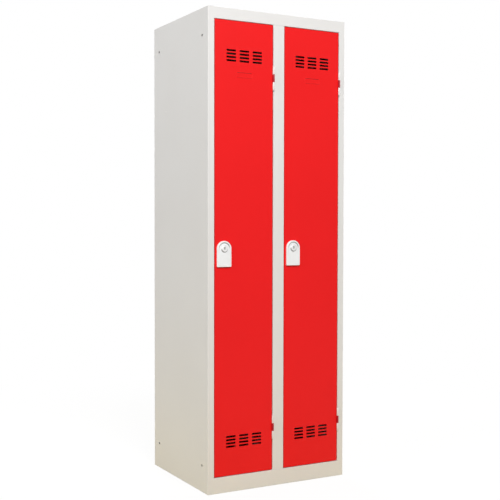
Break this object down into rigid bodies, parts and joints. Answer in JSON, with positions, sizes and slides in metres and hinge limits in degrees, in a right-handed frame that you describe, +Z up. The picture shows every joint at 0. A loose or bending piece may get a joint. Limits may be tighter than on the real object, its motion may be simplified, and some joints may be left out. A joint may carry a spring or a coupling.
{
  "type": "double steel locker",
  "caption": "Tall double steel locker with hinged vented doors, cam locks, hat shelves and hanging rails.",
  "frame": {"origin": "on the floor, at the middle of the carcass's footprint", "axes": "+X to the right seen from the doors, +Y to the back, +Z up"},
  "size_m": [0.6024, 0.511, 1.8],
  "materials": {
    "frame_paint": "light grey powder coat, semi-gloss, fine orange peel",
    "door_paint": "red powder coat, semi-gloss, fine orange peel",
    "plate_plastic": "white moulded plastic, satin",
    "lock_metal": "satin nickel-plated zinc",
    "zinc_steel": "bright zinc-plated steel",
    "rail_steel": "chromed tube",
    "bumper_rubber": "matt black rubber"
  },
  "bodies": {
    "carcass": {"left_side_panel": "frame_paint", "right_side_panel": "frame_paint", "back_panel": "frame_paint", "top_panel": "frame_paint", "floor_panel": "frame_paint", "plinth": "frame_paint", "centre_stile": "frame_paint", "centre_partition": "frame_paint", "left_hat_shelf": "frame_paint", "right_hat_shelf": "frame_paint", "shelf_rivets": "frame_paint", "left_rail_brackets": "zinc_steel", "right_rail_brackets": "zinc_steel", "left_hanging_rail": "rail_steel", "right_hanging_rail": "rail_steel", "left_coat_hook": "zinc_steel", "right_coat_hook": "zinc_steel", "left_door_bumpers": "bumper_rubber", "right_door_bumpers": "bumper_rubber", "left_upper_hinge_frame_lugs": "frame_paint", "left_upper_hinge_pin": "zinc_steel", "left_lower_hinge_frame_lugs": "frame_paint", "left_lower_hinge_pin": "zinc_steel", "right_upper_hinge_frame_lugs": "frame_paint", "right_upper_hinge_pin": "zinc_steel", "right_lower_hinge_frame_lugs": "frame_paint", "right_lower_hinge_pin": "zinc_steel"},
    "left_door": {"left_door_pan": "door_paint", "left_door_stiffener": "door_paint", "left_upper_hinge_door_leaf": "door_paint", "left_lower_hinge_door_leaf": "door_paint", "left_lock_plate": "plate_plastic", "left_plate_screws": "zinc_steel", "left_lock_housing": "lock_metal", "left_lock_nut": "zinc_steel"},
    "left_lock": {"left_lock_plug": "lock_metal", "left_lock_cam": "zinc_steel", "left_cam_screw": "zinc_steel"},
    "right_door": {"right_door_pan": "door_paint", "right_door_stiffener": "door_paint", "right_upper_hinge_door_leaf": "door_paint", "right_lower_hinge_door_leaf": "door_paint", "right_lock_plate": "plate_plastic", "right_plate_screws": "zinc_steel", "right_lock_housing": "lock_metal", "right_lock_nut": "zinc_steel"},
    "right_lock": {"right_lock_plug": "lock_metal", "right_lock_cam": "zinc_steel", "right_cam_screw": "zinc_steel"}
  },
  "joints": [
    {"name": "left_door_swing", "type": "hinge", "parent": "carcass", "child": "left_door", "pos_m": [-0.025, -0.2542, 0.912], "axis": [0, 0, 1], "range_deg": [0, 110]},
    {"name": "left_lock_turn", "type": "hinge", "parent": "left_door", "child": "left_lock", "pos_m": [-0.2351, -0.25, 0.912], "axis": [0, 1, 0], "range_deg": [0, 90]},
    {"name": "right_door_swing", "type": "hinge", "parent": "carcass", "child": "right_door", "pos_m": [0.273, -0.2542, 0.912], "axis": [0, 0, 1], "range_deg": [0, 110]},
    {"name": "right_lock_turn", "type": "hinge", "parent": "right_door", "child": "right_lock", "pos_m": [0.0629, -0.25, 0.912], "axis": [0, 1, 0], "range_deg": [0, 90]}
  ]
}
